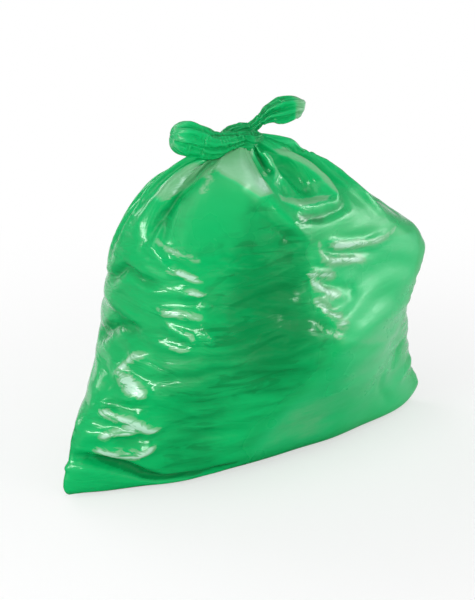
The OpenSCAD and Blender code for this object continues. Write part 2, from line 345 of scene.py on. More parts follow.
# Patches that paint the film paler (above nought) or deeper, some for air and refuse behind it,
# most as painted highlights, sheens and shadows: the amount, the width in millimetres over which
# it fades, and the outline on the film
AIR_AND_PAINTED_LIGHT_PATCHES = (
    # a painted highlight: the pale band down the taut panel under the knot
    (1.6, 12, ((70, 990), (255, 990), (217, 860), (230, 795), (202, 792), (157, 846), (108, 895))),
    (0.15, 26, ((122, 896), (146, 875), (169, 829), (190, 790), (176, 708), (91, 729), (104, 783),
                (107, 838))),
    (-0.12, 20, ((50, 800), (76, 815), (104, 820), (99, 770), (89, 715), (55, 711))),
    (-0.22, 34, ((185, 815), (206, 796), (232, 754), (254, 713), (255, 650), (220, 540), (135, 540),
                 (160, 660), (180, 740))),
    (0.05, 6, ((240, 955), (270, 945), (262, 890), (244, 840), (232, 860), (240, 905))),
    # a painted highlight on the ridge right of the panel
    (0.9, 5, ((275, 905), (292, 900), (276, 840), (250, 795), (238, 815), (262, 860))),
    (0.05, 8, ((296, 905), (318, 870), (338, 825), (346, 790), (340, 765), (300, 762), (288, 785),
               (298, 830))),
    # painted highlights on the upper and lower rims of the open fold
    (1.0, 8, ((330, 930), (385, 890), (392, 820), (385, 760), (358, 745), (358, 800), (346, 850),
              (320, 900))),
    (1.2, 5, ((237, 795), (273, 772), (328, 759), (352, 750), (330, 740), (268, 750), (240, 775))),
    # painted shade in the valley under the fold's lower rim
    (-0.35, 12, ((266, 738), (310, 724), (346, 728), (375, 740), (352, 705), (300, 700), (262, 715))),
    (-0.1, 14, ((315, 690), (359, 715), (401, 708), (414, 662), (401, 617), (359, 613), (312, 642))),
    # a painted sheen on the crown's left, under the left ear
    (1.2, 18, ((13, 808), (21, 858), (45, 985), (100, 990), (105, 880), (80, 845), (40, 800))),
    # a painted sheen over the veil down the right, upper and lower
    (0.58, 10, ((258, 655), (305, 659), (370, 613), (438, 579), (411, 517), (411, 433), (427, 333),
                (336, 379), (284, 421), (263, 467), (240, 521), (242, 562), (255, 613))),
    (0.66, 50, ((427, 333), (474, 192), (497, 87), (427, 108), (328, 121), (263, 129), (214, 138),
                (214, 200), (237, 279), (253, 367), (284, 417), (336, 379))),
    # painted light over the low front
    (0.42, 90, ((150, 342), (174, 363), (229, 312), (297, 254), (320, 120), (247, 120), (182, 130),
                (165, 166), (150, 267))),
    # a painted sheen down the left side, upper and lower
    (0.1, 40, ((-13, 629), (31, 717), (83, 713), (115, 658), (109, 567), (76, 492), (16, 475),
               (-39, 487))),
    (0.12, 50, ((-10, 329), (-39, 396), (0, 467), (44, 458), (65, 367), (94, 258), (86, 188), (13, 221))),
    # a small painted glint on the left
    (0.2, 12, ((47, 550), (78, 571), (107, 550), (107, 521), (91, 508), (65, 517))),
    # the flap under the left corner's crease, painted paler
    (0.22, 8, ((0, 80), (0, 195), (34, 180), (70, 150), (94, 118), (151, 104), (210, 110), (200, 80))),
    (-0.26, 44, ((65, 400), (120, 400), (160, 300), (165, 140), (105, 150), (105, 250))),
    # a painted shadow along the left corner's crease
    (-1.0, 3, ((30, 196), (31, 190), (62, 170), (83, 145), (104, 125), (151, 118), (195, 130),
               (195, 124), (151, 107), (100, 113), (78, 137), (60, 160), (31, 187))),
)

# Ridges along which a glint is painted in pale streaks: amount, half width, and places as above
PAINTED_GLINT_RIDGES = (
    (2.0, 9, ((50, 440), (28, 424), (17, 386), (34, 366), (60, 352))),
    (1.9, 8, ((22, 388), (44, 356), (62, 346))),
    (2.4, 8, ((10, 306), (29, 304), (60, 283), (83, 260), (98, 262))),
    (2.2, 8, ((26, 246), (47, 262), (70, 268))),
    (2.6, 9, ((18, 219), (50, 208), (76, 200), (96, 229))),
    (1.9, 6, ((50, 718), (83, 683), (120, 656))),
    (1.6, 6, ((64, 668), (94, 629), (110, 614))),
    (1.5, 5, ((66, 640), (89, 633), (118, 605))),
    (2.2, 8, ((82, 596), (99, 585), (116, 572))),
    (2.0, 7, ((50, 544), (78, 539), (108, 531))),
    (1.6, 5, ((60, 522), (91, 496), (98, 470))),
    (1.5, 4, ((100, 522), (107, 496), (122, 462))),
    (1.6, 5, ((36, 478), (57, 471), (81, 458), (98, 464))),
    (1.3, 5, ((103, 442), (124, 418))),
    (2.2, 7, ((286, 641), (323, 621), (352, 610))),
    (1.3, 5, ((340, 613), (380, 608), (424, 621))),
    (1.8, 8, ((264, 602), (292, 596), (335, 568))),
    (2.3, 7, ((236, 587), (255, 574), (282, 554))),
    (1.9, 7, ((246, 580), (246, 552), (260, 529), (288, 502))),
    (2.0, 8, ((232, 535), (255, 496), (292, 440))),
    (1.9, 7, ((238, 490), (253, 454), (286, 422))),
    (1.0, 5, ((283, 680), (272, 608))),
    (1.5, 8, ((97, 900), (109, 854), (102, 810))),
    (1.2, 8, ((46, 915), (53, 842), (48, 780))),
    (1.5, 9, ((250, 862), (217, 836), (214, 796))),
)

# Gathers at the back and the sides, as the solid has them: how many there would be all round,
# their depth in metres, and the angles at which they fade out and in again at the front
GATHER_COUNT = 21
GATHER_DEPTH = 0.009
FRONT_FROM = (160.0, 174.0)
FRONT_TO = (338.0, 352.0)


def gather_relief(smooth):
    """How far the gathers at the back and the sides draw the film in, in metres.

    The numbers are those of the solid's own gathers: row is the row of its outlines.
    """
    x, y, z = smooth[..., 0], smooth[..., 1], smooth[..., 2]
    reach = np.where(x < 0, -smooth[:, :1, 0], smooth[:, AROUND // 2, None, 0])
    a = np.degrees(np.arccos(np.clip(x / np.maximum(reach, 1e-6), -1, 1)))
    a = np.where(y < 0, 360.0 - a, a)
    row = np.interp(z, (0.318, 0.408, 0.493, 0.540), (5.0, 6.0, 7.0, 8.0))
    turn = GATHER_COUNT * a / 360
    turn = turn + 0.34 * np.sin(np.radians(2 * a + 40)) + 0.16 * np.sin(np.radians(5 * a + 10))
    start = 5.45 + 0.5 * np.sin(np.radians(3 * a + 70)) + 0.25 * np.sin(np.radians(7 * a))
    front = smoothstep(*FRONT_FROM, a) * (1 - smoothstep(*FRONT_TO, a))
    depth = GATHER_DEPTH * (1 - front) * (1 - 0.55 * smoothstep(7.0, 8.0, row))
    return depth * (np.abs(np.sin(np.pi * turn)) - 1.0) * smoothstep(start, start + 1.3, row)


def scattered_folds(rng):
    """Small folds all round: cross wrinkles on the body and pleats up the crown."""
    folds = []
    for _ in range(WRINKLE_COUNT):
        u, v = rng.uniform(0, 1), rng.uniform(0.13, 0.72)
        half = rng.uniform(0.010, 0.050)
        lean = rng.normal(0.0, 0.012)
        bow = rng.normal(0.0, 0.005)
        height = rng.uniform(0.5, 1.9) * (1 if rng.random() < 0.6 else -1)
        width = rng.uniform(2.0, 4.0)
        folds.append((height, width, ((u - half, v + lean), (u, v + bow), (u + half, v - lean))))
    for _ in range(PLEAT_COUNT):
        u = rng.uniform(0, 1)
        foot = rng.choice([rng.uniform(0.86, 0.92), rng.uniform(0.74, 0.88), rng.uniform(0.66, 0.78)])
        drift = rng.normal(0.0, 0.010)
        if PANEL_U[0] - 0.02 < u < PANEL_U[1] - 0.02 and foot < PANEL_V[1]:
            continue
        height = rng.uniform(1.6, 4.6) * (1 if rng.random() < 0.4 else -1)
        width = rng.uniform(3.0, 6.5)
        middle = (u + drift / 2, (PLEAT_TOP + foot) / 2)
        folds.append((height, width, ((u, PLEAT_TOP), middle, (u + drift, foot))))
    return folds


def placed(rows):
    """Rows of a table with their places made shares, 0 to 1."""
    return [(first, second, as_shares(places)) for first, second, places in rows]


def as_shares(places):
    """Places in thousandths made shares, 0 to 1."""
    return [(u / 1000, v / 1000) for u, v in places]


def film_span(grid):
    """A grid's length round each row, and its mean length from first row to last."""
    ring = np.linalg.norm(np.roll(grid, -1, 1) - grid, axis=-1).sum(1)
    climb = np.linalg.norm(np.diff(grid, axis=0), axis=-1).mean(1).sum()
    return ring, climb


def to_segment(x, y, bx, by):
    """The share along the segment from the origin to b that is nearest, and how far off it is."""
    t = np.clip((x * bx + y * by) / (bx * bx + by * by + 1e-12), 0, 1)
    return t, np.hypot(x - t * bx, y - t * by)


def fold_relief(grid, folds):
    """How far the folds move each point of a grid outwards, in metres."""
    rows, around = grid.shape[:2]
    ring, climb = film_span(grid)
    v = np.linspace(0, 1, rows)
    u = np.arange(around) / around
    relief = np.zeros((rows, around))
    for height, width, line in folds:
        width = width / 1000.0
        # past this far from its line a fold is flat
        reach = 3.2 * width / climb
        levels = [q[1] for q in line]
        near = np.nonzero((v > min(levels) - reach) & (v < max(levels) + reach))[0]
        if len(near) == 0:
            continue
        row = slice(near[0], near[-1] + 1)
        size = ring[row, None]
        best = np.full((len(near), around), FAR)
        at = np.zeros_like(best)
        for k, (a, b) in enumerate(zip(line[:-1], line[1:])):
            x = ((u[None, :] - a[0] + 0.5) % 1.0 - 0.5) * size
            y = (v[row, None] - a[1]) * climb
            t, off = to_segment(x, y, (b[0] - a[0]) * size, (b[1] - a[1]) * climb)
            closer = off < best
            best = np.where(closer, off, best)
            at = np.where(closer, (k + t) / (len(line) - 1), at)
        fade = smoothstep(-0.05, 0.22, at) * (1.0 - smoothstep(0.78, 1.05, at))
        relief[row] += height / 1000.0 * np.exp(-((best / width) ** 1.35)) * fade
    return relief


def patch_cover(grid, outline, fade):
    """How far each point of a grid lies within an outline, 0 to 1. The fade is in metres."""
    rows, around = grid.shape[:2]
    ring, climb = film_span(grid)
    ring = ring[:, None]
    outline = as_shares(outline)
    centre = np.mean([q[0] for q in outline])
    u = (np.arange(around)[None, :] / around - centre + 0.5) % 1.0 - 0.5 + np.zeros((rows, 1))
    v = np.linspace(0, 1, rows)[:, None] + np.zeros((1, around))
    inside = np.zeros((rows, around), bool)
    nearest = np.full((rows, around), FAR)
    for a, b in zip(outline, (*outline[1:], outline[0])):
        au, bu = a[0] - centre, b[0] - centre
        spans = (a[1] > v) != (b[1] > v)
        crossing = au + (v - a[1]) * (bu - au) / (b[1] - a[1] + 1e-12)
        inside ^= spans & (u < crossing)
        x, y = (u - au) * ring, (v - a[1]) * climb
        off = to_segment(x, y, (bu - au) * ring, (b[1] - a[1]) * climb)[1]
        nearest = np.minimum(nearest, off)
    signed = np.where(inside, nearest, -nearest)
    return smoothstep(-fade / 2, fade / 2, signed)


# Film solver

# How much of a link's error one pass mends, where it is stretched and where it is squeezed
THREAD_PULL = (1.0, 0.85)
SHEAR_PULL = (0.5, 0.3)
# How much of the way back one pass takes film that is out of bounds
BOUND_PULL = 0.5
# Slack of the film as shares of its length: round the body, the crown and the crown's top,
# then up the body, with what patches add or take, and up the crown
BODY_ROUND = 0.004
CROWN_ROUND = 0.09
TOP_ROUND = 0.30
BODY_UP = 0.016
BODY_UP_SWING = 0.020
CROWN_UP = 0.008
# How far settled film may stand in or out of its grid, in metres: body, crown and foot
FILM_IN = (-0.0032, -0.0055, -0.0015)
FILM_OUT = (0.0034, 0.0035, 0.0010)
# Height of the foot, and how high the first streaks and pleats are, in metres
FOOT_TOP = 0.05
STREAK_HEIGHT = 0.0009
PLEAT_HEIGHT = 0.0022
FILM_PLAN = ((2, 110, 0.05, 0.004), (1, 80, 0.06, 0.003))
# Width in metres over which the veil and the rim fade in
OUTLINE_FADE = 0.04


def finer(grid):
    """The grid with twice as many threads and rows, on a smooth curve through it."""
    wide = np.empty((grid.shape[0], grid.shape[1] * 2, 3), grid.dtype)
    wide[:, 0::2] = grid
    wide[:, 1::2] = (
        9.0 * (grid + np.roll(grid, -1, 1)) - np.roll(grid, 1, 1) - np.roll(grid, -2, 1)
    ) / 16.0
    tall = np.empty((grid.shape[0] * 2 - 1, wide.shape[1], 3), grid.dtype)
    tall[0::2] = wide
    tall[1::2] = (wide[:-1] + wide[1:]) / 2.0
    tall[3:-2:2] = (9.0 * (wide[1:-2] + wide[2:-1]) - wide[:-3] - wide[3:]) / 16.0
    return tall


def pull(points, a, b, rest, hold, squeeze, weight_a, weight_b):
    """One pass of a set of links that share no point: to their length, softer when squeezed."""
    pa, pb = points[a], points[b]
    d = pb - pa
    length = np.linalg.norm(d, axis=-1) + 1e-9
    gap = length - rest
    k = np.where(gap > 0, hold, squeeze) * gap / length / (weight_a + weight_b + 1e-9)
    d *= k[..., None]
    points[a] = pa + d * weight_a[..., None]
    points[b] = pb - d * weight_b[..., None]


def settle(points, base, slack_u, slack_v, low, high, pinned, passes, stiff, seed, drift):
    """Lets the film find its folds.

    base is the taut film, slack_u and slack_v how much longer than that it is round and
    up the sack, and low and high how far it may leave base inwards and outwards. Pinned
    points stay, stiff is the share of its bending that one pass takes out, and drift the
    share of its way along base that one pass takes back.
    """
    rows, around = base.shape[:2]
    normal = outward(base).astype(np.float32)
    base = base.astype(np.float32)
    points = points.astype(np.float32)
    free = (1.0 - pinned).astype(np.float32)
    slack_d = (slack_u + slack_v) / 2.0
    ids = np.arange(around)
    even, odd = ids[0::2], ids[1::2]
    sets = []

    def add(row_a, col_a, row_b, col_b, slack, hold, squeeze):
        a = (row_a[:, None], col_a[None, :])
        b = (row_b[:, None], col_b[None, :])
        rest = np.linalg.norm(base[b] - base[a], axis=-1) * ((slack[a] + slack[b]) / 2.0)
        sets.append((a, b, rest.astype(np.float32), hold, squeeze, free[a], free[b]))

    all_rows = np.arange(rows)
    for cols in (even, odd):
        add(all_rows, cols, all_rows, (cols + 1) % around, slack_u, *THREAD_PULL)
    for start in (0, 1):
        r = np.arange(start, rows - 1, 2)
        add(r, ids, r + 1, ids, slack_v, *THREAD_PULL)
    for start in (0, 1):
        r = np.arange(start, rows - 1, 2)
        for cols in (even, odd):
            add(r, cols, r + 1, (cols + 1) % around, slack_d, *SHEAR_PULL)
            add(r, (cols + 1) % around, r + 1, cols, slack_d, *SHEAR_PULL)

    rng = np.random.default_rng(seed)
    order = np.arange(len(sets))
    for _ in range(passes):
        rng.shuffle(order)
        for i in order:
            a, b, rest, hold, squeeze, wa, wb = sets[i]
            pull(points, a, b, rest, hold, squeeze, wa, wb)
        # bending: the film's own stiffness, as a pull to where its neighbours point
        lap = (np.roll(points, 1, 1) + np.roll(points, -1, 1)) / 4.0 - points / 2.0
        lap[1:-1] += (points[2:] + points[:-2]) / 4.0 - points[1:-1] / 2.0
        lap[0] = 0.0
        lap[-1] = 0.0
        twice = (np.roll(lap, 1, 1) + np.roll(lap, -1, 1)) / 4.0 - lap / 2.0
        twice[1:-1] += (lap[2:] + lap[:-2]) / 4.0 - lap[1:-1] / 2.0
        twice[:2] = 0.0
        twice[-2:] = 0.0
        points -= stiff * twice * free[..., None]
        # the refuse inside, and how far the film may stand off it
        off = points - base
        out = (off * normal).sum(-1)
        side = off - out[..., None] * normal
        bounded = np.clip(out, low, high)
        out = out + (bounded - out) * BOUND_PULL
        points = base + side * (1.0 - drift) + out[..., None] * normal
        points[..., 2] = np.maximum(points[..., 2], LOWEST_Z)
    return points


def value_noise(rng, rows, around, cells_v, cells_u):
    """Smooth noise on the grid in three sizes, periodic round the sack, about -1 to 1."""
    total = np.zeros((rows, around))
    for o in range(3):
        nv, nu = int(cells_v * 2**o), int(cells_u * 2**o)
        grid = rng.uniform(-1, 1, (nv + 3, nu))
        v = np.linspace(0, nv, rows)
        u = np.arange(around) / around * nu
        iv, iu = v.astype(int), u.astype(int)
        fv = (v - iv)[:, None]
        fu = (u - iu)[None, :]
        fv = fv * fv * (3 - 2 * fv)
        fu = fu * fu * (3 - 2 * fu)
        a = grid[iv][:, iu % nu]
        b = grid[iv][:, (iu + 1) % nu]
        c = grid[iv + 1][:, iu % nu]
        d = grid[iv + 1][:, (iu + 1) % nu]
        total += ((a * (1 - fu) + b * fu) * (1 - fv) + (c * (1 - fu) + d * fu) * fv) / 1.7**o
    return total / 1.6


def panel_share(grid):
    """How far each point of a grid lies in the taut panel, 0 to 1."""
    rows, around = grid.shape[:2]
    v = np.linspace(0, 1, rows)[:, None]
    u = np.arange(around)[None, :] / around
    left = smoothstep(PANEL_U[0] - 0.02, PANEL_U[0] + 0.03, u)
    right = 1 - smoothstep(PANEL_U[1] - 0.04, PANEL_U[1], u)
    return left * right * smoothstep(PANEL_V[0] - 0.05, PANEL_V[0] + 0.02, v)


def crown_share(grid):
    """How far each point of a grid lies in the gathered crown, 0 to 1, with an uneven foot."""
    a = 2.0 * np.pi * np.arange(grid.shape[1]) / grid.shape[1]
    front = hump(a / (2.0 * np.pi), 0.24, 0.17)
    foot = 0.355 + 0.030 * np.sin(5 * a + 0.6) + 0.016 * np.sin(11 * a + 2.0) + 0.06 * front
    return smoothstep(foot[None, :], foot[None, :] + 0.11, grid[..., 2])


def smooth_film():
    """The film on the solid with the facets and the solid's own crown folds rubbed down."""
    smooth = film_on_solid()
    corner = np.zeros(smooth.shape[:2])
    middle = smooth.shape[1] // 2
    corner[:, [0, middle]] = (smooth[:, [0, middle], 2] < 0.06).astype(float)
    smooth = relaxed(smooth, FACET_PASSES, corner)
    crown = crown_share(smooth)
    softer = relaxed(smooth.copy(), CROWN_PASSES, corner)
    smooth += (softer - smooth) * smoothstep(0.31, 0.38, smooth[..., 2])[..., None]
    return smooth, crown


def named_relief(smooth):
    """How far the sack's own folds move the film outwards, in metres."""
    return sum(fold_relief(smooth, placed(folds)) * share for folds, share in NAMED_FOLDS)


def film_shape():
    """The settled film and the smooth film under it."""
    smooth, crown = smooth_film()
    rows, around = smooth.shape[:2]
    v = np.broadcast_to(np.linspace(0, 1, rows)[:, None], (rows, around))
    foot = 1.0 - smoothstep(0.004, FOOT_TOP, smooth[..., 2])
    body = (1 - crown) * (1 - foot)
    rng = np.random.default_rng(FOLD_SEED)

    # small folds are lower where a named fold runs and on the veil, and all fade at both ends
    named = named_relief(smooth)
    scattered = fold_relief(smooth, scattered_folds(rng))
    veil = patch_cover(smooth, VEIL_OUTLINE, OUTLINE_FADE)
    calm = (1.0 - smoothstep(0.0, 0.004, np.abs(named)) * 0.7) * (1.0 - 0.6 * veil)
    relief = (named + gather_relief(smooth) + scattered * calm) * smoothstep(0.03, 0.10, v)
    relief *= 1.0 - 0.5 * smoothstep(0.93, 0.99, v)
    base = smooth + outward(smooth) * relief[..., None]

    # the slack is less where the film is taut
    panel = panel_share(smooth)
    patchy = value_noise(rng, rows, around, 7, 9)
    top = smoothstep(0.80, 0.97, v)
    taut = np.maximum(panel, patch_cover(smooth, RIM_OUTLINE, OUTLINE_FADE))
    slack_u = 1.0 + BODY_ROUND * body + (CROWN_ROUND * crown + TOP_ROUND * top) * (1 - 0.85 * taut)
    slack_v = 1.0 + body * np.maximum(BODY_UP + BODY_UP_SWING * patchy, 0.0) * (1.0 - 0.8 * veil)
    slack_v += CROWN_UP * crown * (1 - panel)
    low, high = (
        at_body * body + at_crown * crown + at_foot * foot
        for at_body, at_crown, at_foot in (FILM_IN, FILM_OUT)
    )
    pinned = np.zeros((rows, around))
    pinned[0] = 1.0
    pinned[-2:] = 1.0

    # a first crumple, from which the folds grow
    streaks = value_noise(rng, rows, around, 60, 20)
    pleats = value_noise(rng, rows, around, 4, 44)
    crumple = STREAK_HEIGHT * streaks * body * (1.0 - 0.7 * veil)
    crumple = crumple + PLEAT_HEIGHT * pleats * crown * (1 - panel) * (1 - smoothstep(0.95, 1.0, v))
    points = base + outward(base) * crumple[..., None]

    level = points[::2, ::2]
    for step, passes, stiff, drift in FILM_PLAN:
        cut = (slice(None, None, step), slice(None, None, step))
        level = settle(
            level, base[cut], slack_u[cut], slack_v[cut], low[cut], high[cut],
            pinned[cut], passes, stiff, 100 + step, drift,
        )
        if step > 1:
            level = finer(level)
    return level, smooth


def grid_mesh(name, grid):
    """A closed skin from rows of points. A row that is wider than a pinprick is capped, unless
    it folds on itself as the base seam does."""
    rows, around = grid.shape[:2]
    points = grid.reshape(-1, 3).tolist()
    faces = []
    for r in range(rows - 1):
        low, high = r * around, (r + 1) * around
        for c in range(around):
            d = (c + 1) % around
            faces.append((low + c, low + d, high + d, high + c))
    mirrored = (-np.arange(around)) % around
    last = (rows - 1) * around
    if np.abs(grid[0] - grid[0][mirrored]).max() > 1e-6:
        points.append(grid[0].mean(axis=0).tolist())
        faces += [((c + 1) % around, c, len(points) - 1) for c in range(around)]
    points.append(grid[-1].mean(axis=0).tolist())
    faces += [(last + c, last + (c + 1) % around, len(points) - 1) for c in range(around)]
    mesh = bpy.data.meshes.new(name)
    mesh.from_pydata(points, [], faces)
    mesh.update()
    return mesh


def merged(mesh):
    """The mesh with its doubles merged and its faces turned outwards."""
    work = bmesh.new()
    work.from_mesh(mesh)
    bmesh.ops.remove_doubles(work, verts=work.verts, dist=MERGE_GAP)
    bmesh.ops.recalc_face_normals(work, faces=work.faces)
    work.to_mesh(mesh)
    work.free()
    for p in mesh.polygons:
        p.use_smooth = True
    mesh.update()
    return mesh


def linked(name, mesh):
    """An object in the scene for a mesh."""
    piece = bpy.data.objects.new(name, mesh)
    bpy.context.scene.collection.objects.link(piece)
    return piece


# Film material


class Nodes:
    """A short way to lay out the nodes of a tree."""

    def __init__(self, tree):
        self.tree = tree
        tree.nodes.clear()

    def put(self, socket, value):
        """Links another node's output to a socket, or sets the socket's own value."""
        if isinstance(value, bpy.types.NodeSocket):
            self.tree.links.new(value, socket)
        else:
            socket.default_value = value

    def add(self, kind, inputs=None, **settings):
        node = self.tree.nodes.new(kind)
        for key, value in settings.items():
            setattr(node, key, value)
        for key, value in (inputs or {}).items():
            self.put(node.inputs[key], value)
        return node

    def attribute(self, name, output="Fac"):
        return self.add("ShaderNodeAttribute", attribute_name=name).outputs[output]

    def maths(self, operation, *values, clamp=False):
        node = self.add("ShaderNodeMath", operation=operation, use_clamp=clamp)
        for socket, value in zip(node.inputs, values):
            self.put(socket, value)
        return node.outputs[0]

    def between(self, value, low, high, to_low=0.0, to_high=1.0):
        node = self.add(
            "ShaderNodeMapRange", {0: value, 1: low, 2: high, 3: to_low, 4: to_high},
            interpolation_type="SMOOTHSTEP",
        )
        return node.outputs[0]

    def mixed(self, share, first, second):
        """A mix of two colours."""
        node = self.add("ShaderNodeMix", {0: share, 6: first, 7: second}, data_type="RGBA")
        return node.outputs[2]

    def noise(self, vector, scale, detail=3.0, roughness=0.5, distortion=0.0):
        node = self.add(
            "ShaderNodeTexNoise",
            {"Vector": vector, "Scale": scale, "Detail": detail, "Roughness": roughness,
             "Distortion": distortion},
        )
        return node.outputs[0]

    def stretched(self, vector, up):
        """A place with its height scaled, so that a noise on it runs level or upright."""
        return self.add("ShaderNodeMapping", {"Vector": vector, "Scale": (1.0, 1.0, up)}).outputs[0]

    def swing(self, noise, amount):
        """A noise turned into a change either way, half the amount at most."""
        return self.maths("MULTIPLY", self.maths("SUBTRACT", noise, 0.5), amount)

    def crease(self, noise):
        """Sharp ridges where a noise passes its middle."""
        return self.maths("ABSOLUTE", self.maths("SUBTRACT", noise, 0.5))

    def without(self, share):
        """What is left of 1."""
        return self.maths("SUBTRACT", 1.0, share)


def shader_nodes(holder):
    """The emptied node tree of a material or of the world."""
    holder.use_nodes = True
    return Nodes(holder.node_tree)


# Specular level of the film on the body, and of the bunched film of the knot
BODY_GLOSS = 0.38
KNOT_GLOSS = 0.24


def film_colour(n, sizes, place):
    """Deep over the refuse and where shade is painted, paler where air is behind it and where light is
    painted, with painted highlights on ridges and painted glints in streaks.
    """
    # how pale the film is painted: air behind it, and painted light and shade
    air_and_painted_light = n.attribute("air_and_painted_light")
    cloud = n.noise(n.stretched(place, 2.0), 5.0, 4.0, 0.55, 0.8)
    streak = n.noise(n.stretched(place, 4.5), 10.0, 5.0, 0.62, 0.9)
    fine = n.noise(n.stretched(place, 2.5), 60.0, 3.0, 0.6, 0.6)
    depth = air_and_painted_light
    for noise, amount in ((cloud, 0.9), (streak, 0.55), (fine, 0.25)):
        depth = n.maths("ADD", depth, n.swing(noise, amount))
    # dark level streaks over the deep film: painted shade of fine wrinkles
    lines = n.noise(n.stretched(place, 3.6), 13.0, 3.0, 0.55, 1.2)
    deep = n.between(air_and_painted_light, -0.6, 0.5, -0.45, -0.05)
    depth = n.maths("ADD", depth, n.maths("MULTIPLY", n.between(lines, 0.52, 0.62), deep))

    dark, film, light, pale, painted_glint_colour = (
        (*colour, 1) for colour in (
            sizes.dark_green, sizes.film_green, sizes.light_green, sizes.pale_green, sizes.painted_glint_green,
        )
    )
    colour = n.mixed(n.between(depth, -0.80, 0.40), dark, film)
    colour = n.mixed(n.between(depth, 0.40, 1.1), colour, light)
    # painted highlights: the colour turns lighter on sharp ridges
    colour = n.mixed(n.maths("MULTIPLY", n.attribute("ridge"), 0.25, clamp=True), colour, light)
    # painted glints: pale streaks along the glint ridges, broken up by a noise
    wisp = n.noise(n.stretched(place, 2.2), 24.0, 3.0, 0.6, 1.5)
    painted_glint = n.maths("MULTIPLY", n.attribute("painted_glint"), n.between(wisp, 0.36, 0.60, 0.35, 1.25))
    depth = n.maths("ADD", depth, painted_glint)
    colour = n.mixed(n.between(depth, 0.9, 1.7), colour, pale)
    return n.mixed(n.between(depth, 1.7, 3.0), colour, painted_glint_colour)


def film_bump(n, place, distance):
    """Fine creases across the body, fine pleats up the crown, and crumples over all."""
    threads = n.attribute("threads", "Vector")
    crown = n.attribute("crown")
    across = n.crease(n.noise(n.stretched(place, 3.8), 13.0, 2.0, 0.42, 1.0))
    pleat = n.crease(n.noise(n.stretched(threads, 0.16), 7.5, 2.0, 0.5, 0.5))
    crumple = n.crease(n.noise(place, 30.0, 1.0, 0.4, 1.0))
    height = n.maths(
        "ADD", n.maths("MULTIPLY", across, n.without(crown)), n.maths("MULTIPLY", pleat, crown)
    )
    height = n.maths("ADD", height, n.maths("MULTIPLY", crumple, 0.15))
    slack = n.without(n.maths("MULTIPLY", n.attribute("taut"), 0.9))
    height = n.maths("MULTIPLY", height, slack)
    bump = n.add("ShaderNodeBump", {"Height": height, "Strength": 0.50, "Distance": distance})
    return bump.outputs[0]


def film_material(name, sizes, fold_share, gloss=BODY_GLOSS):
    """Glossy film. Its fine creases have a share of the height that the sizes give."""
    material = bpy.data.materials.new(name)
    n = shader_nodes(material)
    place = n.add("ShaderNodeTexCoord").outputs["Object"]
    rough = n.between(n.noise(place, 11.0, 3.0), 0.3, 0.7, 0.14, 0.27)
    rough = n.maths("ADD", rough, n.between(n.attribute("taut"), 0.0, 0.45, 0.0, 0.10))
    skin = n.add(
        "ShaderNodeBsdfPrincipled",
        {"Base Color": film_colour(n, sizes, place), "Roughness": rough,
         "Normal": film_bump(n, place, sizes.crease_height * fold_share)},
    )
    skin.inputs["IOR"].default_value = 1.5
    skin.inputs["Specular IOR Level"].default_value = gloss
    n.add("ShaderNodeOutputMaterial", {"Surface": skin.outputs[0]})
    return material


class SackSizes(bpy.types.PropertyGroup):
    """Sizes and colours that a user would change"""

    film_green: bpy.props.FloatVectorProperty(
        name="Film green", description="Colour of the film where it lies on the refuse",
        subtype="COLOR", size=3, min=0, max=1, default=(0.002, 0.43, 0.115),
    )
    # also where shade is painted, over the middle of the front and in creases
    dark_green: bpy.props.FloatVectorProperty(
        name="Dark green", description="Colour of the film where dark refuse shows through",
        subtype="COLOR", size=3, min=0, max=1, default=(0.001, 0.225, 0.055),
    )
    # also the painted highlights on sharp ridges
    light_green: bpy.props.FloatVectorProperty(
        name="Light green", description="Colour of the film where a little air is behind it",
        subtype="COLOR", size=3, min=0, max=1, default=(0.012, 0.49, 0.155),
    )
    # also the painted sheen of the veil and the painted highlights of the patches
    pale_green: bpy.props.FloatVectorProperty(
        name="Pale green", description="Colour of the film where it stands off with air behind it",
        subtype="COLOR", size=3, min=0, max=1, default=(0.150, 0.46, 0.215),
    )
    # the colour of the painted glints
    painted_glint_green: bpy.props.FloatVectorProperty(
        name="Milky green", description="Colour of the film where a fold has stretched it",
        subtype="COLOR", size=3, min=0, max=1, default=(0.42, 0.70, 0.52),
    )
    crease_height: bpy.props.FloatProperty(
        name="Crease height", description="Height of the film's fine creases",
        unit="LENGTH", min=0, default=0.006,
    )
    ear_reach: bpy.props.FloatProperty(
        name="Ear reach", description="How far each ear's tip is from the middle of the knot",
        unit="LENGTH", min=0.05, default=0.118,
    )
    seal_inset: bpy.props.FloatProperty(
        name="Seal inset", description="How far the base seal ends short of the corners",
        unit="LENGTH", min=0, default=0.050,
    )
    seal_width: bpy.props.FloatProperty(
        name="Seal width", description="Width of the band that seals the base",
        unit="LENGTH", min=0.001, default=0.008,
    )
    weld_pitch: bpy.props.FloatProperty(
        name="Weld pitch", description="Distance from one weld of the base seal to the next",
        unit="LENGTH", min=0.001, default=0.006,
    )
    weld_height: bpy.props.FloatProperty(
        name="Weld height", description="How far a weld stands out of the film",
        unit="LENGTH", min=0.0001, default=0.0004,
    )
    view_azimuth: bpy.props.FloatProperty(
        name="View azimuth", description="Where the camera stands, turned from straight in front",
        subtype="ANGLE", default=math.radians(-35.0),
    )
    view_elevation: bpy.props.FloatProperty(
        name="View elevation", description="How far above level the camera stands",
        subtype="ANGLE", default=math.radians(21.03),
    )
    view_distance: bpy.props.FloatProperty(
        name="View distance", description="From the camera to the middle of the sack",
        unit="LENGTH", min=1.0, default=3.9,
    )


def put_attributes(mesh, values):
    """Stores numbers or vectors for each point of a mesh."""
    for name, data in values.items():
        kind = "FLOAT_VECTOR" if data.ndim == 2 else "FLOAT"
        field = "vector" if data.ndim == 2 else "value"
        attribute = mesh.attributes.new(name, kind, "POINT")
        attribute.data.foreach_set(field, data.astype(np.float32).ravel())


